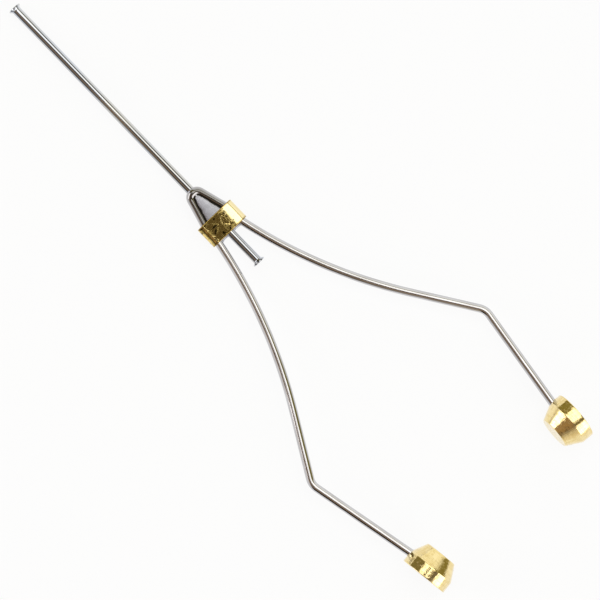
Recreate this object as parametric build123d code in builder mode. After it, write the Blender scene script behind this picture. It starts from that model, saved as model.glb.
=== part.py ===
from build123d import *
import os
from math import cos, radians, sin
from types import SimpleNamespace

# Bobbin holder for fly tying: a thread tube held in the head of a sprung wire frame, whose two arms
# carry turned brass cups that grip a spool of thread between them.
# The origin is on the tube's axis, half way along the brass collar. +X runs out of the tube's tip,
# +Y is the left arm's side, and +Z is square to the flat of the wire frame. Sizes are in millimetres
# and angles in degrees. An angle of a leg or an arm is how far it leans out from the tube's axis.

# Thread tube
TUBE_OD = 1.6
TUBE_BORE = 1.0
TUBE_AHEAD = 53.2
TUBE_BEHIND = 9.6
LIP_OD = 2.4
LIP_MOUTH = 1.9
LIP_LENGTH = 0.7
LIP_RIM = 0.25

# Wire frame: the arch of the head, with an eye for the tube
WIRE_D = 1.5
ARCH_HEIGHT = 5.4
ARCH_RADIUS = 1.18
ARCH_SPLAY = 16
EYE_OD = 2.7
EYE_SETBACK = 0.25

# Wire frame: the legs in the collar. The frame is bent by hand, so its two arms leave unevenly.
LEG_SPLAY = 5
LEG_BEND_RADIUS = 3
LEFT_EXIT_ANGLE = 10.46
RIGHT_EXIT_ANGLE = 13.62

# Wire frame: the arms, which flex where they leave the collar
FLEX_SETBACK = 0.6
FLEX_SEAT_RADIUS = 0.9
FLEX_CLEARANCE = 0.05
BOW_RADIUS = 93
BOW_TURN_ANGLE = 19.6
SHOULDER_RUN = 12.4
SHOULDER_RADIUS = 3
SHOULDER_TURN_ANGLE = 41.5
LEFT_END_RUN = 24.6
RIGHT_END_RUN = 23.6

# Brass collar and the solder that fills it
COLLAR_LENGTH = 4.2
COLLAR_WALL = 0.36
COLLAR_EDGE = 0.12
SOLDER_COVER = 0.15
SOLDER_FILM = 0.02
SOLDER_BITE = 0.25
SOLDER_EDGE = 0.2
MENISCUS_LENGTH = 0.35
MENISCUS_INSET = 0.25

# Brass cups, each on the end of its arm's wire. A cup leans back from square to its wire, so that the two
# noses face each other across the frame, and the right one sits a little rolled on its wire, nose up.
CUP_OD = 9.1
CUP_NOSE_D = 6.0
CUP_LENGTH = 5.17
CUP_BAND = 2.2
CUP_EDGE = 0.15
CUP_LEAN_ANGLE = 4.3
RIGHT_CUP_ROLL_ANGLE = 5.5
SOCKET_FROM_FACE = 2.22
SOCKET_DEPTH = 3.2
SOCKET_CLEARANCE = 0.02
SOCKET_SINK = 0.35

WIRE_R = WIRE_D / 2
TUBE_R = TUBE_OD / 2
CUP_R = CUP_OD / 2
HALF_COLLAR = COLLAR_LENGTH / 2
ARCH_TOP = HALF_COLLAR + ARCH_HEIGHT
SOLDER_HALF = max(TUBE_R, WIRE_R) + SOLDER_COVER
TUBE_HOLE_R = TUBE_R + SOLDER_FILM
WIRE_STOP = CUP_R - SOCKET_DEPTH

# Which way each side lies from the tube, and what differs between the two
SIDES = {
    "left": SimpleNamespace(way=1, exit_angle=LEFT_EXIT_ANGLE, end_run=LEFT_END_RUN, cup_roll=0),
    "right": SimpleNamespace(
        way=-1, exit_angle=RIGHT_EXIT_ANGLE, end_run=RIGHT_END_RUN, cup_roll=RIGHT_CUP_ROLL_ANGLE
    ),
}


def run_back(line, back_to):
    """Straight run on from the end of a line, the way it is heading, as far back as this X."""
    length = (back_to - (line @ 1).X) / (line % 1).X
    return PolarLine(start=line @ 1, length=length, direction=line % 1)


def seat(line):
    """Wire carried on past the end of a leg, with its end rounded about the line the arm flexes on."""
    with BuildPart() as tip:
        with BuildSketch(Plane(line @ 1, z_dir=line % 1)):
            Circle(WIRE_R)
        extrude(amount=FLEX_SEAT_RADIUS)
        with BuildSketch(Plane.XY.offset(-WIRE_D)):
            with Locations(line @ 1):
                Circle(FLEX_SEAT_RADIUS)
        extrude(amount=2 * WIRE_D, mode=Mode.INTERSECT)
    return tip.part


def half_head(side):
    """Half of the head: its centreline, from the top of the arch to the point where the arm flexes,
    and its seat for the arm. The wire bends at the collar's two ends and is straight between them."""
    with BuildLine() as whole:
        arch = JernArc(
            start=(ARCH_TOP, 0),
            tangent=(0, side.way),
            radius=ARCH_RADIUS,
            arc_size=side.way * (90 - ARCH_SPLAY),
        )
        slope = run_back(arch, HALF_COLLAR)
        pinch = JernArc(
            start=slope @ 1,
            tangent=slope % 1,
            radius=LEG_BEND_RADIUS,
            arc_size=side.way * (ARCH_SPLAY - LEG_SPLAY),
        )
        straight = run_back(pinch, -HALF_COLLAR)
        spread = JernArc(
            start=straight @ 1,
            tangent=straight % 1,
            radius=LEG_BEND_RADIUS,
            arc_size=side.way * (LEG_SPLAY - side.exit_angle),
        )
        PolarLine(start=spread @ 1, length=FLEX_SETBACK, direction=spread % 1)
    return SimpleNamespace(whole=whole.line, slope=slope, straight=straight, seat=seat(whole.line))


def arm_line(side, leg):
    """Centreline of an arm: bowed outwards, bent in at the shoulder, then straight into its cup."""
    with BuildLine() as whole:
        bow = JernArc(
            start=leg @ 1, tangent=leg % 1, radius=BOW_RADIUS, arc_size=-side.way * BOW_TURN_ANGLE
        )
        run = PolarLine(start=bow @ 1, length=SHOULDER_RUN, direction=bow % 1)
        shoulder = JernArc(
            start=run @ 1,
            tangent=run % 1,
            radius=SHOULDER_RADIUS,
            arc_size=side.way * SHOULDER_TURN_ANGLE,
        )
        PolarLine(start=shoulder @ 1, length=side.end_run - WIRE_STOP, direction=shoulder % 1)
    return whole.line


def lip(rim, inward):
    """Three edges of the tube wall at a flared end: mouth, rounded rim and the flare's back."""
    root = rim + inward * LIP_LENGTH
    back = rim + inward * LIP_RIM
    outwards = (-inward, 0)
    crown = (rim + inward * LIP_RIM / 4, LIP_MOUTH / 8 + 3 * LIP_OD / 8)
    TangentArc((root, TUBE_BORE / 2), (rim, LIP_MOUTH / 2), tangent=outwards)
    ThreePointArc((rim, LIP_MOUTH / 2), crown, (back, LIP_OD / 2))
    TangentArc((root, TUBE_R), (back, LIP_OD / 2), tangent=outwards)
    return root


os.makedirs("parts", exist_ok=True)

legs = {name: half_head(side) for name, side in SIDES.items()}
left_leg = legs["left"]

# The collar's hole is as wide as the legs where they leave it, with a film of solder outside them.
slot_half = (left_leg.straight @ 1).Y + WIRE_R / cos(radians(LEG_SPLAY)) + SOLDER_FILM
slot_height = 2 * SOLDER_HALF

# Thread tube, flared at both ends
with BuildPart() as thread_tube:
    with BuildSketch(Plane.XZ):
        with BuildLine():
            front = lip(TUBE_AHEAD, -1)
            rear = lip(-TUBE_BEHIND, 1)
            Line((rear, TUBE_BORE / 2), (front, TUBE_BORE / 2))
            Line((rear, TUBE_R), (front, TUBE_R))
        make_face()
    revolve(axis=Axis.X)
thread_tube.part.label = "thread_tube"
export_step(thread_tube.part, "parts/thread_tube.step")

# Head of the wire frame: both legs, the arch that joins them and the eye drilled through it for the tube.
# Each leg ends in a round seat on the line that its arm flexes about.
with BuildPart() as wire_head:
    for leg in legs.values():
        with BuildSketch(Plane(leg.whole @ 0, z_dir=leg.whole % 0)):
            Circle(WIRE_R)
        sweep(path=leg.whole)
        add(leg.seat)
    with Locations((ARCH_TOP - EYE_SETBACK, 0, 0)):
        Sphere(EYE_OD / 2)
    with BuildSketch(Plane.YZ):
        Circle(TUBE_HOLE_R)
    extrude(amount=ARCH_TOP + EYE_OD, mode=Mode.SUBTRACT)
wire_head.part.label = "wire_head"
export_step(wire_head.part, "parts/wire_head.step")

# Brass collar, an oblong ring round the legs and the tube
with BuildPart() as collar:
    with BuildSketch(Plane.YZ.offset(-HALF_COLLAR)):
        SlotOverall(2 * (slot_half + COLLAR_WALL), slot_height + 2 * COLLAR_WALL)
    extrude(amount=COLLAR_LENGTH)
    fillet(collar.faces().filter_by(Axis.X).edges(), min(COLLAR_EDGE, COLLAR_WALL / 2))
    with BuildSketch(Plane.YZ.offset(-HALF_COLLAR)):
        SlotOverall(2 * slot_half, slot_height)
    extrude(amount=COLLAR_LENGTH, mode=Mode.SUBTRACT)
collar.part.label = "collar"
export_step(collar.part, "parts/collar.step")

# Solder: a flat pad in the arch, the fill of the collar and a low meniscus behind it
pad_inset = Vector(0, (WIRE_R - SOLDER_BITE) / cos(radians(ARCH_SPLAY)))
pad_front = (left_leg.slope @ 0) - pad_inset
pad_back = (left_leg.slope @ 1) - pad_inset
with BuildPart() as solder_fill:
    with BuildSketch(Plane.XY.offset(-SOLDER_HALF)):
        with BuildLine():
            outline = Polyline((pad_front.X, 0), pad_front, pad_back, (pad_back.X, 0))
            mirror(outline, about=Plane.XZ)
        make_face()
    extrude(amount=slot_height)
    pad_sides = solder_fill.edges().filter_by(
        lambda edge: abs(edge.center().Y) > TUBE_R and abs(edge.center().Z) > TUBE_R
    )
    fillet(pad_sides, min(SOLDER_EDGE, SOLDER_HALF / 3))
    with BuildSketch(Plane.YZ.offset(-HALF_COLLAR)):
        SlotOverall(2 * slot_half, slot_height)
    extrude(amount=COLLAR_LENGTH)
    with BuildSketch(Plane.YZ.offset(-HALF_COLLAR)):
        SlotOverall(2 * (slot_half - MENISCUS_INSET), slot_height - 2 * MENISCUS_INSET)
    extrude(amount=-MENISCUS_LENGTH)
    add(wire_head.part, mode=Mode.SUBTRACT)
    with BuildSketch(Plane.YZ.offset(-TUBE_BEHIND)):
        Circle(TUBE_HOLE_R)
    extrude(amount=TUBE_BEHIND + TUBE_AHEAD, mode=Mode.SUBTRACT)
solder_fill.part.label = "solder_fill"
export_step(solder_fill.part, "parts/solder_fill.step")

for name, side in SIDES.items():
    leg = legs[name].whole
    line = arm_line(side, leg)

    # Arm: its near end is hollowed to clear the round end of the leg as it flexes
    with BuildPart() as arm:
        with BuildSketch(Plane(line @ 0, z_dir=line % 0)):
            Circle(WIRE_R)
        sweep(path=line)
        with BuildSketch(Plane.XY.offset(-WIRE_D)):
            with Locations(line @ 0):
                Circle(FLEX_SEAT_RADIUS + FLEX_CLEARANCE)
        extrude(amount=2 * WIRE_D, mode=Mode.SUBTRACT)
    arm.part.label = f"{name}_arm"
    export_step(arm.part, f"parts/{name}_arm.step")

    # Cup: a band, a cone and a flat nose, turned about a line that leans back a little from square to the
    # wire's straight end, with the nose towards the spool, and drilled from the side for the wire
    end = line % 1
    centre = (line @ 1) + end * WIRE_STOP
    square = Vector(-end.Y, end.X) * side.way
    level_nose = square * cos(radians(CUP_LEAN_ANGLE)) + end * sin(radians(CUP_LEAN_ANGLE))
    up = Vector(0, 0, 1)
    nose = level_nose * cos(radians(side.cup_roll)) + up * sin(radians(side.cup_roll))
    mouth_plane = Plane(centre, z_dir=-end)
    with BuildPart() as cup:
        with BuildSketch(Plane(centre, x_dir=nose, z_dir=up.cross(nose))):
            with BuildLine():
                Polyline(
                    (-SOCKET_FROM_FACE, 0),
                    (-SOCKET_FROM_FACE, CUP_R),
                    (CUP_BAND - SOCKET_FROM_FACE, CUP_R),
                    (CUP_LENGTH - SOCKET_FROM_FACE, CUP_NOSE_D / 2),
                    (CUP_LENGTH - SOCKET_FROM_FACE, 0),
                    close=True,
                )
            make_face()
        revolve(axis=Axis(centre, nose))
        fillet(cup.faces().filter_by(GeomType.PLANE).edges(), CUP_EDGE)
        with BuildSketch(mouth_plane.offset(WIRE_STOP)):
            Circle(WIRE_R + SOCKET_CLEARANCE)
        extrude(amount=2 * SOCKET_DEPTH, mode=Mode.SUBTRACT)
        with BuildSketch(mouth_plane.offset(CUP_R - SOCKET_SINK)):
            Circle(WIRE_R + SOCKET_CLEARANCE)
        extrude(amount=2 * SOCKET_SINK, taper=-45, mode=Mode.SUBTRACT)
    cup.part.label = f"{name}_cup"
    export_step(cup.part, f"parts/{name}_cup.step")

    # Places where the joint and the spool's seat are stated
    nose_point = centre + nose * (CUP_LENGTH - SOCKET_FROM_FACE)
    print(name, "flex point", tuple(leg @ 1))
    print(name, "nose point", tuple(nose_point), "heading", tuple(nose))
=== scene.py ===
"""Looks of the bobbin holder for fly tying: a thread tube in a bent wire frame, with brass fittings."""

import bpy
import numpy as np
from mathutils import Matrix, Quaternion, Vector


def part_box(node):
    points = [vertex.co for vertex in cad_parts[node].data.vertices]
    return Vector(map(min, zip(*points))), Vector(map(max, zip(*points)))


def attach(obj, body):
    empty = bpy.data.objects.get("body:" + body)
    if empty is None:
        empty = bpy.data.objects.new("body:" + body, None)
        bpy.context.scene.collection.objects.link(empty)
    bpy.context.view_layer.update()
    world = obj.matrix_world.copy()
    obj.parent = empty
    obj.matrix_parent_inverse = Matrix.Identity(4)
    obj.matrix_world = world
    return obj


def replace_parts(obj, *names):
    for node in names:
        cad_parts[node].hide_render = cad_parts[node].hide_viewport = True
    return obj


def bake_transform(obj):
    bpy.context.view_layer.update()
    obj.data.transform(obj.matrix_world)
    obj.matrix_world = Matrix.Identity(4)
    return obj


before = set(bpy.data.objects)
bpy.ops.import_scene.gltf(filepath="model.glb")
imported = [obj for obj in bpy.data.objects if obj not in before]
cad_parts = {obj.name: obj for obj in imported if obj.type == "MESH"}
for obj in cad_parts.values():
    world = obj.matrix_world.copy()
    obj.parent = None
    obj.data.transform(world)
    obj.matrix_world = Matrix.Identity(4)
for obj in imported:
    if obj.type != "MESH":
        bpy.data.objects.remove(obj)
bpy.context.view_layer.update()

# Sizes in millimetres and angles in degrees, as the solids have them
WIRE_R = 0.75
TUBE_R = 0.8
TUBE_BORE_R = 0.5
TUBE_FRONT = 53.2
TUBE_REAR = -9.6
LIP_R = 1.2
LIP_MOUTH_R = 0.95
LIP_LENGTH = 0.7
LIP_RIM = 0.25

HALF_COLLAR = 2.1
COLLAR_WALL = 0.36
COLLAR_EDGE = 0.12
COLLAR_HALF_WIDTH = 3.993
COLLAR_HALF_HEIGHT = 1.31

ARCH_TOP = 7.5
ARCH_RADIUS = 1.18
ARCH_SPLAY = 16
LEG_SPLAY = 5
LEG_BEND_RADIUS = 3
EXIT_ANGLES = {"left": 10.46, "right": 13.62}
FLEX_SETBACK = 0.6
BOW_RADIUS = 93
BOW_TURN = 19.6
SHOULDER_RUN = 12.4
SHOULDER_RADIUS = 3
SHOULDER_TURN = 41.5
END_RUNS = {"left": 24.6, "right": 23.6}

CUP_R = 4.55
CUP_NOSE_R = 3.0
CUP_LENGTH = 5.17
CUP_BAND = 2.2
CUP_EDGE = 0.15
SOCKET_FROM_FACE = 2.22
SOCKET_DEPTH = 3.2
SOCKET_SINK = 0.35
CUP_LEAN = 4.3
CUP_ROLLS = {"left": 0.0, "right": 5.5}

# Forms, laps and marks that only the looks have, in the same units
LIP_GUARD = 0.2
# Angles round the tube, in degrees, of the painted dark reflection lines along it, and their spread
PAINTED_LINE_ANGLES = (8, 48, 84, 115, 190, 229, 262, 301, 335)
PAINTED_LINE_SPREAD = 0.085  # the sine of half an angle
COLLAR_CROWN = 2.5
# Width and fade of the painted dark reflection line along the collar's rims
EDGE_LINE = 0.3
EDGE_LINE_FADE = 0.2
# Where the collar's painted shade and tarnish stop short of its right end, and the run over which they fade
SHADE_STOP = -2.1
SHADE_STOP_FADE = 0.8
EYE_SPREAD = 1.0
EYE_ACROSS = 0.12
EYE_UP = 0.38
ARCH_LAP = 1.2
ARM_LAP = 1.25
CUP_HUB_R = 0.2
PAD_LAP = 0.34
PAD_SETBACK = 0.6
PAD_FRONT_GAP = 0.002
PAD_HEIGHT = 0.98
PAD_DROP = 0.35
PAD_DROP_FROM = 5.2
PAD_DROP_RUN = 2
PAD_BOXINESS = 3.4
# Distance from the wire over which the painted shade in the solder pad's crease fades out
CREASE_SHADE_REACH = 0.8
PLUG_TAPER = 0.25
PLUG_TAPER_POWER = 8
PLUG_SETBACK = 0.05
WEB_START = 0.55
WEB_SPAN = 2.3
WEB_INSIDE = 0.5
WEB_REACH = 0.30
WEB_ON_LEG = 0.75
WEB_ON_TUBE = 0.15
WEB_THICK = 0.55
WEB_THICKER = 0.15
WEB_BOXINESS = 2.6
FILLET_START = 0.35
FILLET_RUN = 0.55
FILLET_RISE = 0.24
FILLET_POWER = 2.4
FILLET_SINK = 0.02
FLEX_START = 0.4
FLEX_RUN = 22

# Points round the rings of turned pieces, and the longest steps along a section
TUBE_COUNT = 72
CUP_COUNT = 300
FILLET_COUNT = 56
CUP_STEP = 0.09
COLLAR_STEP = 0.3

# Places of a few bends and runs in the list that makes up a wire
LEG_RUN, EXIT_BEND, BOW = 3, 4, 6

SIDES = {"left": 1, "right": -1}
MM = 0.001


class Shade:
    """A socket of a node tree. Sums and products of shades and numbers add Math nodes."""

    def __init__(self, tree, socket):
        self.tree = tree
        self.socket = socket

    @classmethod
    def node(cls, tree, kind, settings=None, inputs=None, output=0):
        """A new node of this kind: its settings first, then its sockets' values or links."""
        made = tree.nodes.new("ShaderNode" + kind)
        for name, value in (settings or {}).items():
            if name == "stops":
                ramp = made.color_ramp.elements
                while len(ramp) < len(value):
                    ramp.new(1.0)
                for stop, (position, colour) in zip(ramp, value):
                    stop.position = position
                    stop.color = (*colour, 1.0)
            else:
                setattr(made, name, value)
        for name, value in (inputs or {}).items():
            if isinstance(value, Shade):
                tree.links.new(value.socket, made.inputs[name])
            else:
                made.inputs[name].default_value = value
        return cls(tree, made.outputs[output] if made.outputs else None)

    def math(self, operation, first, second):
        return Shade.node(self.tree, "Math", {"operation": operation}, {0: first, 1: second})

    def __add__(self, other):
        return self.math("ADD", self, other)

    def __radd__(self, other):
        return self.math("ADD", other, self)

    def __mul__(self, other):
        return self.math("MULTIPLY", self, other)

    def __rmul__(self, other):
        return self.math("MULTIPLY", other, self)


class Finish:
    """A finish in the making: its material, and the patterns that are laid on it."""

    def __init__(self, name):
        self.material = bpy.data.materials.new(name)
        self.material.use_nodes = True
        self.tree = self.material.node_tree
        self.tree.nodes.clear()

    def node(self, kind, settings=None, inputs=None, output=0):
        return Shade.node(self.tree, kind, settings, inputs, output)

    def stretched(self, spot, scale):
        return self.node("VectorMath", {"operation": "MULTIPLY"}, {0: spot, 1: scale})

    def place(self, *scale):
        """Object coordinates in millimetres, times a scale for each axis."""
        spot = self.node("TexCoord", output="Object")
        return self.stretched(spot, [s / MM for s in scale])

    def lay(self, *scale):
        """Way along the piece in millimetres, then the cosine and sine of the way round it, each scaled."""
        spot = self.node("Attribute", {"attribute_name": "lay"}, output="Vector")
        return self.stretched(spot, scale)

    def pattern(self, name):
        """Value that the piece's mesh carries under this name, and 0 on a mesh without it."""
        return self.node("Attribute", {"attribute_name": name}, output="Fac")

    def noise(self, spot, detail=3.0, roughness=0.55, distortion=0.0):
        """Cloudy pattern from 0 to 1 with one cloud to about a unit of the spot."""
        return self.node(
            "TexNoise",
            None,
            {
                "Vector": spot,
                "Scale": 1.0,
                "Detail": detail,
                "Roughness": roughness,
                "Distortion": distortion,
            },
        )

    def band(self, value, low, high):
        """0 below low, 1 above high, and smooth between them."""
        return self.node(
            "MapRange",
            {"interpolation_type": "SMOOTHSTEP"},
            {"Value": value, "From Min": low, "From Max": high},
        )

    def mixed(self, share, first, second):
        """Colour that goes from the first to the second as the share rises from 0 to 1."""
        ends = [c if isinstance(c, Shade) else (*c, 1.0) for c in (first, second)]
        return self.node("Mix", {"data_type": "RGBA"}, {0: share, 6: ends[0], 7: ends[1]}, output=2)

    def metal(self, colour, roughness, height, depth, coat=0.0):
        """The finished metal, with a bump whose pattern of 0 to 1 is this many millimetres deep, and a share
        of clear lacquer."""
        bump = self.node("Bump", None, {"Strength": 1.0, "Distance": depth * MM, "Height": height})
        shader = self.node(
            "BsdfPrincipled",
            None,
            {
                "Base Color": colour,
                "Metallic": 1.0,
                "Roughness": roughness,
                "Normal": bump,
                "Coat Weight": coat,
                "Coat Roughness": 0.05,
            },
        )
        self.node("OutputMaterial", None, {"Surface": shader})
        return self.material


def drawn_wire_steel():
    """Polished spring wire: fine marks along the draw, faint rings from straightening, a few dull patches,
    and, where the mesh carries it, a painted dark reflection along the top and bottom, patchy in strength."""
    finish = Finish("drawn_wire_steel")
    clean, dull, dark_reflection_colour = (0.62, 0.612, 0.628), (0.53, 0.515, 0.52), (0.10, 0.092, 0.082)
    draw = finish.noise(finish.lay(0.12, 5.0, 5.0), detail=3.0)
    rings = finish.noise(finish.lay(1.5, 0.4, 0.4), detail=2.0)
    patches = finish.noise(finish.lay(0.25, 1.2, 1.2), detail=2.0)
    colour = finish.mixed(finish.band(patches, 0.35, 0.7), clean, dull)
    # Painted dark reflection: a near-black band along the top and bottom of a wire whose mesh carries it,
    # patchy in strength
    colour = finish.mixed(finish.pattern("stain") * (0.6 + 0.5 * patches), colour, dark_reflection_colour)
    return finish.metal(colour, 0.03 + 0.04 * draw + 0.03 * patches, draw + 0.15 * rings, 0.0004)


def drawn_tube_steel():
    """Bright tube: slow changes of tint between blue and straw, and painted dark reflection lines along its
    length that fade in places."""
    finish = Finish("drawn_tube_steel")
    blue, straw, black = (0.66, 0.685, 0.74), (0.68, 0.67, 0.65), (0.06, 0.065, 0.08)
    draw = finish.noise(finish.place(0.05, 1.5, 1.5), detail=1.0)
    tint = finish.noise(finish.place(0.12, 0.6, 0.6), detail=1.0)
    colour = finish.mixed(finish.band(tint, 0.35, 0.65), blue, straw)
    # Painted dark reflections: near-black lines along the tube at the listed angles, fading where the draw is
    # faint
    colour = finish.mixed(finish.pattern("lines") * finish.band(draw, 0.2, 0.5), colour, black)
    return finish.metal(colour, 0.03 + 0.03 * draw, tint, 0.004)


def collar_brass():
    """Polished sheet brass, a little uneven from forming. Over all but its clean right end it is painted
    deeper in tone as shade, with dark tarnish in clouds and a few black spots. Along its rounded edges
    runs a painted dark reflection line."""
    finish = Finish("collar_brass")
    clean, deep, tarnished = (0.92, 0.79, 0.46), (0.84, 0.65, 0.25), (0.46, 0.34, 0.10)
    black, edge_reflection_dark = (0.07, 0.05, 0.015), (0.36, 0.24, 0.05)
    swell = finish.noise(finish.place(0.35, 0.35, 0.35), detail=1.0)
    tarnish = finish.noise(finish.place(1.1, 1.1, 1.1), detail=2.0, roughness=0.5, distortion=0.6)
    spots = finish.noise(finish.place(1.3, 0.9, 0.9), detail=1.0, distortion=0.3)
    # Painted shade with tarnish: over all but the right end the brass is deeper in tone, with tarnish clouds
    # and black spots; the right end stays clean and pale
    soiled = finish.pattern("soiled")
    dark = soiled * finish.band(tarnish, 0.46, 0.66)
    colour = finish.mixed(soiled, clean, deep)
    colour = finish.mixed(dark, colour, tarnished)
    colour = finish.mixed(soiled * finish.band(spots, 0.58, 0.64), colour, black)
    # Painted dark reflection along the rounded edges
    colour = finish.mixed(0.9 * finish.pattern("edge"), colour, edge_reflection_dark)
    return finish.metal(colour, 0.06 + 0.10 * dark, swell + 0.4 * tarnish, 0.05)


def turned_cup_brass():
    """Turned brass: fine tool marks round the cup, streaks along it, a slight waviness, a light tarnish in
    clouds, and small spots worn to a satin."""
    finish = Finish("turned_cup_brass")
    bright, tarnished = (0.95, 0.785, 0.41), (0.85, 0.66, 0.28)
    marked, streaked = (0.76, 0.58, 0.21), (0.72, 0.52, 0.17)
    marks = finish.noise(finish.lay(5.0, 0.25, 0.25), detail=3.0, roughness=0.6)
    streaks = finish.noise(finish.lay(0.3, 15.0, 15.0), detail=2.0)
    tarnish = finish.noise(finish.place(1.2, 1.2, 1.2), detail=4.0, roughness=0.6)
    swell = finish.noise(finish.place(1.1, 1.1, 1.1), detail=2.0)
    worn = finish.band(finish.noise(finish.place(2.4, 2.4, 2.4), detail=2.0), 0.54, 0.64)
    colour = finish.mixed(finish.band(tarnish, 0.40, 0.72), bright, tarnished)
    colour = finish.mixed(0.6 * finish.band(marks, 0.45, 0.65), colour, marked)
    colour = finish.mixed(0.3 * finish.band(streaks, 0.45, 0.65), colour, streaked)
    height = swell + 0.3 * marks + 0.45 * streaks
    return finish.metal(colour, 0.05 + 0.06 * marks + 0.22 * worn, height, 0.034, coat=0.6)


def dull_solder():
    """Soft solder: satin grey, a little cloudy, with painted shade in the creases where it meets the wire."""
    finish = Finish("dull_solder")
    pale, grey, black = (0.42, 0.425, 0.475), (0.36, 0.365, 0.41), (0.03, 0.025, 0.02)
    cloud = finish.noise(finish.place(0.8, 0.8, 0.8), detail=4.0, roughness=0.5)
    # Painted shade: near black where the pad's surface comes down to the wire, with a cloudy edge
    crease_shade = finish.band(finish.pattern("crease") + 0.5 * cloud, 0.62, 0.80)
    colour = finish.mixed(finish.band(cloud, 0.35, 0.7), pale, grey)
    colour = finish.mixed(crease_shade, colour, black)
    return finish.metal(colour, 0.34 + 0.10 * cloud + 0.3 * crease_shade, cloud, 0.01)


def skin(name, rings, joined=False, **patterns):
    """Closed surface through a grid of points in millimetres. A row of the grid is a ring, whose last point
    joins its first. The last ring joins the first one, or each of them is closed by a fan onto its middle.
    The tetrahedra from the origin to all the triangles add up to the volume, and where that comes out below
    0 the faces are turned over. Patterns are values at the grid's points, for a finish to follow."""
    rows, count = rings.shape[:2]
    index = np.arange(rows * count).reshape(rows, count)
    near = index if joined else index[:-1]
    far = np.roll(index, -1, axis=0) if joined else index[1:]
    quads = np.stack([near, np.roll(near, -1, axis=1), np.roll(far, -1, axis=1), far], axis=-1)
    quads = quads.reshape(-1, 4)
    points = rings.reshape(-1, 3)
    fans = np.empty((0, 3), int)
    values = {key: v.reshape(rows * count, -1) for key, v in patterns.items()}
    if not joined:
        first = np.stack([np.full(count, points.shape[0]), np.roll(index[0], -1), index[0]], axis=-1)
        last = np.stack([np.full(count, points.shape[0] + 1), index[-1], np.roll(index[-1], -1)], axis=-1)
        fans = np.concatenate([first, last])
        points = np.concatenate([points, rings[[0, -1]].mean(axis=1)])
        values = {key: np.concatenate([v, v[[0, -1]]]) for key, v in values.items()}
    triangles = np.concatenate([quads[:, [0, 1, 2]], quads[:, [0, 2, 3]], fans])
    a, b, c = points[triangles].transpose(1, 0, 2)
    order = 1 if np.sum(a * np.cross(b, c)) > 0 else -1
    mesh = bpy.data.meshes.new(name)
    mesh.from_pydata((points * MM).tolist(), [], quads[:, ::order].tolist() + fans[:, ::order].tolist())
    mesh.shade_smooth()
    for key, v in values.items():
        kind, field = ("FLOAT", "value") if v.shape[1] == 1 else ("FLOAT_VECTOR", "vector")
        mesh.attributes.new(key, kind, "POINT").data.foreach_set(field, v.astype(np.float32).ravel())
    made = bpy.data.objects.new(name, mesh)
    bpy.context.scene.collection.objects.link(made)
    return made


def dressed(made, finish, slot, *nodes):
    """The piece in its finish, standing for these solids."""
    made.data.materials.append(finish)
    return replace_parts(made, *nodes)


def round_way(count):
    """Angles of evenly spaced points once round a ring."""
    return np.linspace(0, 2 * np.pi, count, endpoint=False)


def eased(corners, trim, steps=7, guard=0.03):
    """Broken line with its inner corners rounded: each is cut back by the trim along both of its runs and
    bridged by a parabola. A guard point just outside each end of the bridge keeps the runs flat."""
    corners = np.asarray(corners, float)
    middle = corners[1:-1]
    back = corners[:-2] - middle
    on = corners[2:] - middle
    back /= np.linalg.norm(back, axis=1, keepdims=True)
    on /= np.linalg.norm(on, axis=1, keepdims=True)
    k = np.linspace(0, 1, steps)[None, :, None]
    start = (middle + trim * back)[:, None]
    stop = (middle + trim * on)[:, None]
    bridge = (1 - k) ** 2 * start + 2 * k * (1 - k) * middle[:, None] + k**2 * stop
    guards = [start + guard * back[:, None], bridge, stop + guard * on[:, None]]
    return np.concatenate([corners[:1], np.concatenate(guards, axis=1).reshape(-1, 2), corners[-1:]])


def way_along(line):
    """Distance of each point of a line from its start."""
    return np.concatenate([[0], np.cumsum(np.linalg.norm(np.diff(line, axis=0), axis=1))])


def filled(line, step):
    """The line with more points on it, so that no two neighbours are further apart than the step."""
    way = way_along(line)
    stations = np.union1d(way, np.arange(0, way[-1], step))
    return np.stack([np.interp(stations, way, line[:, k]) for k in range(line.shape[1])], axis=-1)


def turned(profile, centre, axis, count):
    """Rings of a profile turned about an axis. The profile gives the way along the axis and the radius, and
    each ring is a circle of that radius square to the axis. With it goes its lay: the way along the profile,
    and the cosine and sine of the way round."""
    across = np.cross((0.0, 0.0, 1.0), axis)
    across /= np.linalg.norm(across)
    angle = round_way(count)[None, :, None]
    spoke = np.cos(angle) * across + np.sin(angle) * np.cross(axis, across)
    rings = np.asarray(centre) + profile[:, :1, None] * np.asarray(axis) + profile[:, 1:, None] * spoke
    way = np.broadcast_to(way_along(profile)[:, None, None], rings.shape[:2] + (1,))
    turn = np.broadcast_to(np.concatenate([np.cos(angle), np.sin(angle)], axis=2), rings.shape[:2] + (2,))
    return rings, np.concatenate([way, turn], axis=2)


def wire_rings(way, line, across_r, up_r, count=40):
    """Rings of a wire along a flat line: each is an oval square to the line, of these two half widths, one
    across the flat of the frame and one up from it. With them goes their lay."""
    heading = np.gradient(line, axis=0)
    heading /= np.linalg.norm(heading, axis=1, keepdims=True)
    across = np.stack([-heading[:, 1], heading[:, 0]], axis=-1)
    angle = round_way(count)
    flat = line[:, None] + (across_r[:, None] * np.cos(angle))[..., None] * across[:, None]
    up = up_r[:, None] * np.sin(angle)
    rings = np.concatenate([flat, up[..., None]], axis=2)
    turn = [np.broadcast_to(f(angle), up.shape) for f in (np.cos, np.sin)]
    return rings, np.stack([np.broadcast_to(way[:, None], up.shape), *turn], axis=-1)


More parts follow.
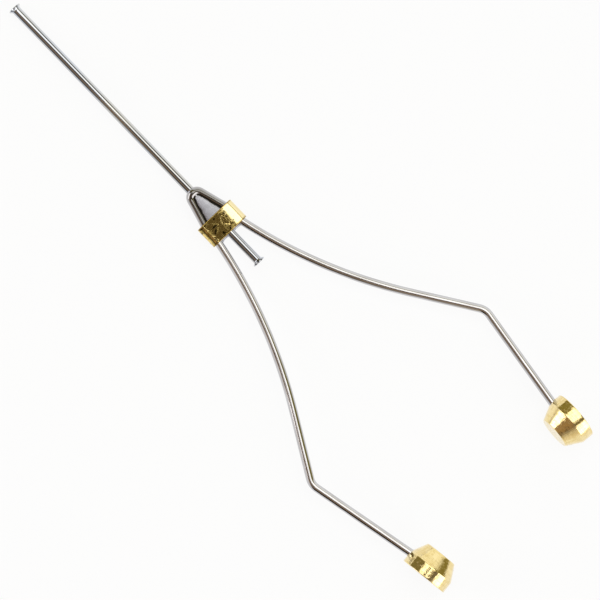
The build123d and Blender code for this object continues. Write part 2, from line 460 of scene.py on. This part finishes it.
def bent_wire(name):
    """Centreline of half the frame, from the top of the arch to the axis of the cup: way, points and the
    ways at which its bends and runs start. A bend turns the heading evenly and a run keeps it, so the
    heading is a broken line of the way along the wire, and the place is the running sum of the heading's
    direction."""
    side, exit_angle = SIDES[name], EXIT_ANGLES[name]
    arch, leg = np.sin(np.radians([ARCH_SPLAY, LEG_SPLAY]))
    slope = ARCH_TOP - ARCH_RADIUS * (1 - arch) - HALF_COLLAR
    straight = 2 * HALF_COLLAR - LEG_BEND_RADIUS * (arch - leg)
    parts = [
        (ARCH_RADIUS * np.radians(90 - ARCH_SPLAY), 90 - ARCH_SPLAY),
        (slope / np.sqrt(1 - arch**2), 0),
        (LEG_BEND_RADIUS * np.radians(ARCH_SPLAY - LEG_SPLAY), ARCH_SPLAY - LEG_SPLAY),
        (straight / np.sqrt(1 - leg**2), 0),
        (LEG_BEND_RADIUS * np.radians(exit_angle - LEG_SPLAY), LEG_SPLAY - exit_angle),
        (FLEX_SETBACK, 0),
        (BOW_RADIUS * np.radians(BOW_TURN), -BOW_TURN),
        (SHOULDER_RUN, 0),
        (SHOULDER_RADIUS * np.radians(SHOULDER_TURN), SHOULDER_TURN),
        (END_RUNS[name], 0),
    ]
    lengths, turns = zip(*parts)
    starts = np.concatenate([[0], np.cumsum(lengths)])
    headings = 90 + np.concatenate([[0], np.cumsum(turns)])
    way = np.linspace(0, starts[-1], 12001)
    heading = np.radians(np.interp(way, starts, headings))
    middle = (heading[1:] + heading[:-1]) / 2
    steps = np.diff(way)[:, None] * np.stack([np.cos(middle), side * np.sin(middle)], axis=-1)
    points = np.array([ARCH_TOP, 0.0]) + np.concatenate([[[0.0, 0.0]], np.cumsum(steps, axis=0)])
    return way, points, starts


def stretch_of(wire, start, stop, count):
    """Evenly spaced points of a wire's centreline between two ways along it."""
    way, points, _ = wire
    stations = np.linspace(start, stop, count)
    return stations, np.stack([np.interp(stations, way, points[:, k]) for k in (0, 1)], axis=-1)


def oblong(half_width, half_height, count=48):
    """Outline of an oblong with crowned sides: two arcs of one radius, moved apart along Y, and two parabolas
    between them. Both run the same way where they meet, leaning by the crown, and that and the two half sizes
    give the radius of the arcs."""
    crown = np.radians(COLLAR_CROWN)
    rise = np.tan(crown) / 2
    radius = (half_height - half_width * rise) / (np.cos(crown) - (1 - np.sin(crown)) * rise)
    reach = half_width - radius * (1 - np.sin(crown))
    turn = np.linspace(crown - np.pi / 2, np.pi / 2 - crown, count)
    across = np.linspace(1, -1, 31)[1:-1]
    arc = np.stack([half_width - radius + radius * np.cos(turn), radius * np.sin(turn)], axis=-1)
    side = np.stack([reach * across, half_height - reach * rise * across**2], axis=-1)
    half = np.concatenate([arc, side])
    return np.concatenate([half, -half])


wire_steel = drawn_wire_steel()
solder = dull_solder()
cup_brass = turned_cup_brass()
wires = {name: bent_wire(name) for name in SIDES}


def thread_tube():
    """Tube with flared ends: its wall's section is a loop in way along the axis and radius, turned about X.
    A flare's back and its mouth are parabolas, and the rim between them is a rounded corner. A guard point
    past the root of each flare keeps the tube straight. The painted dark reflection lines are bell curves
    of the sine of half the angle from each of them."""
    k = np.linspace(0, 1, 12)[:, None]

    def lip(end, inward):
        root, back = end + inward * LIP_LENGTH, end + inward * LIP_RIM
        guard = root + inward * LIP_GUARD
        flare = np.hstack([root + (back - root) * k, TUBE_R + (LIP_R - TUBE_R) * k**2])
        rim = np.hstack([end + (back - end) * (1 - k) ** 2, LIP_R + (LIP_MOUTH_R - LIP_R) * k**2])
        widening = (LIP_MOUTH_R - TUBE_BORE_R) * (1 - k) ** 2
        mouth = np.hstack([end + (root - end) * k, TUBE_BORE_R + widening])
        return np.concatenate([[[guard, TUBE_R]], flare, rim[1:], mouth[1:], [[guard, TUBE_BORE_R]]])

    loop = np.concatenate([lip(TUBE_FRONT, -1), lip(TUBE_REAR, 1)[::-1]])
    rings, _ = turned(loop, (0, 0, 0), (1, 0, 0), TUBE_COUNT)
    # Painted dark reflection lines: a bell curve round the tube about each listed angle
    off_line = np.subtract.outer(np.radians(PAINTED_LINE_ANGLES), round_way(TUBE_COUNT))
    lines = np.exp(-((np.sin(off_line / 2) / PAINTED_LINE_SPREAD) ** 2)).sum(axis=0)
    made = skin("drawn_tube", rings, joined=True, lines=np.broadcast_to(lines, rings.shape[:2]))
    return dressed(made, drawn_tube_steel(), "steel_tube", "thread_tube")


def arch_wire():
    """Arch of the frame: the two halves of the wire, from inside the collar over the top. Near the tube the
    wire swells to an eye, by a bell curve of the distance from the tube's axis. The band of painted dark
    reflection is the fourth power of the sine of the way round, so it lies along the top and bottom."""
    left, right = [stretch_of(wires[name], 0, wires[name][2][LEG_RUN] + ARCH_LAP, 110) for name in SIDES]
    way = np.concatenate([-left[0][::-1], right[0][1:]])
    line = np.concatenate([left[1][::-1], right[1][1:]])
    eye = np.exp(-((line[:, 1] / EYE_SPREAD) ** 2)) * (line[:, 0] > HALF_COLLAR)
    rings, lay = wire_rings(way, line, WIRE_R + EYE_ACROSS * eye, WIRE_R + EYE_UP * eye)
    # The band of painted dark reflection, along the wire's top and bottom
    made = skin("arch_wire", rings, lay=lay, stain=lay[..., 2] ** 4)
    return dressed(made, wire_steel, "steel_wire", "wire_head")


def arm_wire(name):
    """Arm of the frame: one unbroken wire from inside the collar into the cup's socket."""
    starts = wires[name][2]
    stop = starts[-1] - (CUP_R - SOCKET_DEPTH)
    way, line = stretch_of(wires[name], starts[LEG_RUN] + ARM_LAP, stop, 420)
    r = np.full(way.size, WIRE_R)
    rings, lay = wire_rings(way, line, r, r)
    made = skin(f"{name}_wire", rings, lay=lay)
    return dressed(made, wire_steel, "steel_wire", f"{name}_arm")


def collar_ring():
    """Oblong brass ring: a rounded section of the wall, carried round the collar's outline. It carries the
    mask of tarnish and painted shade but for its right end, and its painted dark edge lines fade inwards from
    both rims."""
    outer = [(HALF_COLLAR, 0), (HALF_COLLAR, COLLAR_WALL)]
    inner = [(-HALF_COLLAR, COLLAR_WALL), (-HALF_COLLAR, 0)]
    section = filled(eased([(0, 0), *outer, *inner, (0, 0)], COLLAR_EDGE), COLLAR_STEP)[:-1]
    outlines = np.stack([oblong(COLLAR_HALF_WIDTH - d, COLLAR_HALF_HEIGHT - d) for _, d in section])
    along = np.broadcast_to(section[:, :1, None], outlines.shape[:2] + (1,))
    rings = np.concatenate([along, outlines], axis=2)
    # Painted dark reflection lines, fading inwards from both rims
    edge = np.clip((np.abs(rings[..., 0]) - HALF_COLLAR + EDGE_LINE) / EDGE_LINE_FADE, 0, 1)
    # Mask of painted shade and tarnish: 0 on the right end, rising to 1 over the fade
    soiled = np.clip((rings[..., 1] - SHADE_STOP) / SHADE_STOP_FADE, 0, 1)
    made = skin("collar_ring", rings, joined=True, edge=edge, soiled=soiled)
    return dressed(made, collar_brass(), "collar_brass", "collar")


def cup(name):
    """Turned cup: a band, a cone and a flat nose, with their edges eased. Round the wire the surface sinks to
    a cone whose sides rise at 45 degrees from the wire, as the countersunk mouth of the socket does."""
    _, points, _ = wires[name]
    end = np.append(points[-1] - points[-2], 0.0)
    end /= np.linalg.norm(end)
    lean, roll = np.radians([CUP_LEAN, CUP_ROLLS[name]])
    square = SIDES[name] * np.array([-end[1], end[0], 0.0])
    nose = np.cos(roll) * (np.cos(lean) * square + np.sin(lean) * end) + [0, 0, np.sin(roll)]
    centre = np.append(points[-1], 0.0)
    face, edge, tip = -SOCKET_FROM_FACE, CUP_BAND - SOCKET_FROM_FACE, CUP_LENGTH - SOCKET_FROM_FACE
    corners = [(face, CUP_HUB_R), (face, CUP_R), (edge, CUP_R), (tip, CUP_NOSE_R), (tip, CUP_HUB_R)]
    rings, lay = turned(filled(eased(corners, CUP_EDGE), CUP_STEP), centre, nose, CUP_COUNT)
    away = rings - centre
    depth = away @ -end
    from_wire = np.linalg.norm(away + depth[..., None] * end, axis=2)
    mouth = CUP_R - SOCKET_SINK + np.maximum(from_wire - WIRE_R, 0)
    rings = rings + np.maximum(depth - mouth, 0)[..., None] * end
    made = skin(f"{name}_turned_cup", rings, lay=lay)
    return dressed(made, cup_brass, "cup_brass", f"{name}_cup")


def oval(power, count=56):
    """Points of an oval between a circle, at power 2, and a box, at a high power."""
    angle = round_way(count)
    across, up = np.cos(angle), np.sin(angle)
    return np.sign(across) * np.abs(across) ** (2 / power), np.sign(up) * np.abs(up) ** (2 / power)


def solder_pad():
    """Solder that fills the arch: boxy ovals square to the tube, as wide at each place as the inner line of
    the arch, which is the wire's centreline moved in, so that the pad overlaps the wire and its front is
    round. Near the front its height drops by the square of the way. The crease rises to 1 as the surface
    comes down to the wire's."""
    _, points, _ = wires["left"]
    heading = np.gradient(points, axis=0)
    heading /= np.linalg.norm(heading, axis=1, keepdims=True)
    inner = points + PAD_LAP * np.stack([-heading[:, 1], heading[:, 0]], axis=-1)
    inner = inner[(points[:, 0] > 0) & (inner[:, 1] > 0)]
    inner = inner[np.argsort(inner[:, 0])]
    back, front = HALF_COLLAR - PAD_SETBACK, inner[-1, 0] - PAD_FRONT_GAP
    x = back + (front - back) * np.sin(np.linspace(0, np.pi / 2, 90))
    width = np.interp(x, inner[:, 0], inner[:, 1])[:, None]
    drop = np.clip((x - PAD_DROP_FROM) / PAD_DROP_RUN, 0, 1) ** 2
    height = PAD_HEIGHT * (1 - PAD_DROP * drop)[:, None]
    across, up = oval(PAD_BOXINESS)
    rings = np.stack(np.broadcast_arrays(x[:, None], width * across, height * up), axis=-1)
    middle = np.concatenate([points[::40], points[::40] * [1, -1]])
    nearest = np.linalg.norm(rings[:, :, None, :2] - middle, axis=3).min(axis=2)
    gap = np.hypot(nearest, rings[..., 2]) - WIRE_R
    # The crease carries the painted shade along the wire
    made = skin("solder_pad", rings, crease=np.clip(1 - gap / CREASE_SHADE_REACH, 0, 1))
    return dressed(made, solder, "solder", "solder_fill")


def solder_plug():
    """Solder that fills the collar: the outline of its hole, drawn in at both ends by a high power of the way
    from the middle."""
    x = np.linspace(-1, 1, 25)
    inset = COLLAR_WALL + PLUG_TAPER * np.abs(x) ** PLUG_TAPER_POWER
    outlines = np.stack([oblong(COLLAR_HALF_WIDTH - d, COLLAR_HALF_HEIGHT - d) for d in inset])
    along = np.broadcast_to(((HALF_COLLAR - PLUG_SETBACK) * x)[:, None, None], outlines.shape[:2] + (1,))
    rings = np.concatenate([along, outlines], axis=2)
    made = skin("solder_plug", rings, crease=np.zeros(rings.shape[:2]))
    return dressed(made, solder, "solder", "solder_fill")


def solder_web(name):
    """Web of solder behind the collar, between the tube and one leg: ovals square to Y, whose free edge
    reaches back furthest on the leg, a little on the tube, and least between them."""
    k = np.linspace(0, 1, 40)[:, None]
    y = SIDES[name] * (WEB_START + k * WEB_SPAN)
    reach = WEB_REACH + WEB_ON_LEG * k**4 + WEB_ON_TUBE * (1 - k) ** 4
    thick = WEB_THICK + WEB_THICKER * (2 * k - 1) ** 2
    across, up = oval(WEB_BOXINESS)
    x = -HALF_COLLAR - (reach - WEB_INSIDE) / 2 + (reach + WEB_INSIDE) / 2 * across
    rings = np.stack(np.broadcast_arrays(x, y, thick * up), axis=-1)
    made = skin(f"{name}_solder_web", rings, crease=np.zeros(rings.shape[:2]))
    return dressed(made, solder, "solder", "solder_fill")


def tip_fillet():
    """Solder run round the tube where it leaves the arch: a ring whose radius falls to the tube's as a power
    of the way along."""
    k = np.linspace(0, 1, 24)
    radius = TUBE_R - FILLET_SINK + FILLET_RISE * (1 - k) ** FILLET_POWER
    profile = np.stack([ARCH_TOP + FILLET_START + FILLET_RUN * k, radius], axis=-1)
    rings, _ = turned(profile, (0, 0, 0), (1, 0, 0), FILLET_COUNT)
    made = skin("tip_fillet", rings, crease=np.zeros(rings.shape[:2]))
    return dressed(made, solder, "solder", "solder_fill")


for made in (thread_tube(), arch_wire(), collar_ring(), solder_pad(), solder_plug(), tip_fillet()):
    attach(made, "head")
for name in SIDES:
    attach(solder_web(name), "head")
    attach(cup(name), f"{name}_side")
    # The stretch of each arm from just behind the collar on, over the first part of its bow
    starts = wires[name][2]
    bend = stretch_of(wires[name], starts[EXIT_BEND] + FLEX_START, starts[BOW] + FLEX_RUN, 2)
    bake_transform(arm_wire(name))

# Camera: looking down almost square to the flat of the frame, leaning a little towards the left arm
VIEW_BACK = Vector((0.0, 0.04, 0.0))
VIEW_BACK.z = (1 - VIEW_BACK.length_squared) ** 0.5
VIEW_ROLL = np.radians(-43.99)
VIEW_DISTANCE = 900 * MM
VIEW_TARGET = Vector((-19.39, -0.516, 0)) * MM
MM_PER_PIXEL = 0.17753
IMAGE_WIDTH = 600

view_right = Vector((np.cos(VIEW_ROLL), np.sin(VIEW_ROLL), 0)).cross(VIEW_BACK).normalized()
view_up = VIEW_BACK.cross(view_right)
view_axes = Matrix((view_right, view_up, VIEW_BACK)).transposed()
lens = bpy.data.cameras.new("camera")
lens.sensor_width = 36
lens.lens = lens.sensor_width * VIEW_DISTANCE / (MM_PER_PIXEL * MM * IMAGE_WIDTH)
lens.clip_start = 0.01
camera = bpy.data.objects.new("camera", lens)
camera.matrix_world = Matrix.Translation(VIEW_TARGET + VIEW_DISTANCE * VIEW_BACK) @ view_axes.to_4x4()
bpy.context.scene.collection.objects.link(camera)
bpy.context.scene.camera = camera
bpy.context.scene.view_settings.view_transform = "Standard"

# Studio: lengths in metres, and the share of the floor's own white
FLOOR_REACH = 4.0
FLOOR_GAP = 0.00002
FLOOR_OWN_WHITE = 0.9
CARD_R = 0.098
CARD_SHIFT = (0, 0.041, 0)


def stage_sheet(name, points, finish):
    """Flat sheet with one face through these points, which belongs to the studio and not to the object."""
    mesh = bpy.data.meshes.new(name)
    mesh.from_pydata(points.tolist(), [], [list(range(len(points)))])
    mesh.materials.append(finish.material)
    made = bpy.data.objects.new(name, mesh)
    bpy.context.scene.collection.objects.link(made)
    return made


def floor():
    """Pale table top that the cups and the tip of the tube rest on: a plane that rises along X from under the
    cups to the tip's lip. To the camera and in reflections it is mostly its own white, and the rest takes the
    light and the soft shadows."""
    cup_low, tube_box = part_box("left_cup")[0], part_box("thread_tube")
    cup_x = cup_low.x + CUP_R * MM
    rise = (tube_box[0].z - cup_low.z) / (tube_box[1].x - cup_x)
    corners = np.array([(-1, -1), (1, -1), (1, 1), (-1, 1)], float) * FLOOR_REACH
    level = cup_low.z + rise * (corners[:, 0] - cup_x) - FLOOR_GAP
    finish = Finish("table_white")
    seen = [finish.node("LightPath", output=f"Is {ray} Ray") for ray in ("Camera", "Glossy", "Transmission")]
    own = finish.node("Emission", None, {"Color": (1.0, 1.0, 1.0, 1.0), "Strength": 1.0})
    lit = finish.node("BsdfDiffuse", None, {"Color": (0.93, 0.96, 1.0, 1.0)})
    share = FLOOR_OWN_WHITE * (seen[0] + seen[1] + seen[2])
    both = finish.node("MixShader", None, {0: share, 1: lit, 2: own})
    finish.node("OutputMaterial", None, {"Surface": both})
    stage_sheet("table_top", np.column_stack([corners, level]), finish)


def softbox(name, azimuth, off_axis, width, height, level, tilt=0.0, distance=0.8):
    """Soft lamp that faces the object, its width along the picture's but for its tilt. Azimuth is
    anticlockwise from the right of the picture, and off_axis is the angle from the camera's line. Its level
    is the brightness of its face, where 1 is white."""
    a, o = np.radians([azimuth, off_axis])
    back = view_axes @ Vector((np.cos(a) * np.sin(o), np.sin(a) * np.sin(o), np.cos(o)))
    along = (view_right - view_right.dot(back) * back).normalized()
    along = Quaternion(back, np.radians(tilt)) @ along
    light = bpy.data.lights.new(name, "AREA")
    light.shape = "RECTANGLE"
    light.size, light.size_y = width, height
    light.energy = level * np.pi * width * height
    made = bpy.data.objects.new(name, light)
    turn = Matrix((along, back.cross(along), back)).transposed()
    made.matrix_world = Matrix.Translation(VIEW_TARGET + distance * back) @ turn.to_4x4()
    made.visible_camera = False
    bpy.context.scene.collection.objects.link(made)


def dark_card():
    """Round dark card a metre up, in the direction in which the collar's flat reflects the camera and a
    little aside of it, so that the flat does not glare."""
    middle = np.array(camera.location.normalized()) * (-1, -1, 1) + CARD_SHIFT
    angle = round_way(48)
    disc = middle + CARD_R * np.column_stack([np.cos(angle), np.sin(angle), np.zeros(angle.size)])
    finish = Finish("card_brown")
    dim = finish.node("Emission", None, {"Color": (0.105, 0.082, 0.045, 1.0), "Strength": 1.0})
    finish.node("OutputMaterial", None, {"Surface": dim})
    stage_sheet("dark_card", disc, finish).visible_camera = False


def room():
    """Dim room round the lamps: olive at the upper right of the picture, grey overhead, brown and then nearly
    black towards the lower left, with a warm glow at the bottom, a pale curtain at the left that stops short
    of the table, and a pale wall at the upper right. Each part fades with the cosine of the angle from its
    middle."""
    world = bpy.data.worlds.new("room")
    bpy.context.scene.world = world
    world.use_nodes = True
    tree = world.node_tree
    tree.nodes.clear()
    direction = Shade.node(tree, "TexCoord", output="Generated")

    def cosine(lean):
        inputs = {0: direction, 1: lean}
        return Shade.node(tree, "VectorMath", {"operation": "DOT_PRODUCT"}, inputs, output="Value")

    def towards(azimuth):
        a = np.radians(azimuth)
        return cosine(view_right * np.cos(a) + view_up * np.sin(a))

    def rising(value, low, high):
        inputs = {"Value": value, "From Min": low, "From Max": high}
        return Shade.node(tree, "MapRange", {"interpolation_type": "SMOOTHSTEP"}, inputs)

    def laid_over(colour, share, tone):
        inputs = {0: share, 6: colour, 7: (*tone, 1.0)}
        return Shade.node(tree, "Mix", {"data_type": "RGBA"}, inputs, output=2)

    stops = [
        (0.28, (0.25, 0.215, 0.07)),
        (0.42, (0.21, 0.18, 0.07)),
        (0.50, (0.17, 0.14, 0.115)),
        (0.62, (0.19, 0.155, 0.14)),
        (0.82, (0.39, 0.265, 0.15)),
        (0.885, (0.035, 0.028, 0.026)),
        (1.0, (0.015, 0.012, 0.011)),
    ]
    glow, curtain, wall = (0.87, 0.80, 0.70), (1.0, 0.98, 0.95), (1.06, 1.06, 1.0)
    above_table = rising(cosine(VIEW_BACK), 0.02, 0.15)
    shade = Shade.node(tree, "ValToRGB", {"stops": stops}, {0: 0.5 + 0.5 * towards(-122)})
    shade = laid_over(shade, rising(towards(-60), 0.45, 1.0), glow)
    shade = laid_over(shade, rising(towards(188), 0.68, 0.92) * above_table, curtain)
    shade = laid_over(shade, rising(towards(65), 0.62, 0.80), wall)
    light = Shade.node(tree, "Background", None, {"Color": shade, "Strength": 1.0})
    Shade.node(tree, "OutputWorld", None, {"Surface": light})


floor()
room()
dark_card()
softbox("top", azimuth=74, off_axis=15, width=2.04, height=1.40, level=1.7, tilt=-10, distance=2.0)
softbox("lower_right", azimuth=-36, off_axis=67, width=0.60, height=0.62, level=1.8, tilt=28)
softbox("left", azimuth=178, off_axis=58, width=0.44, height=0.40, level=2.1)
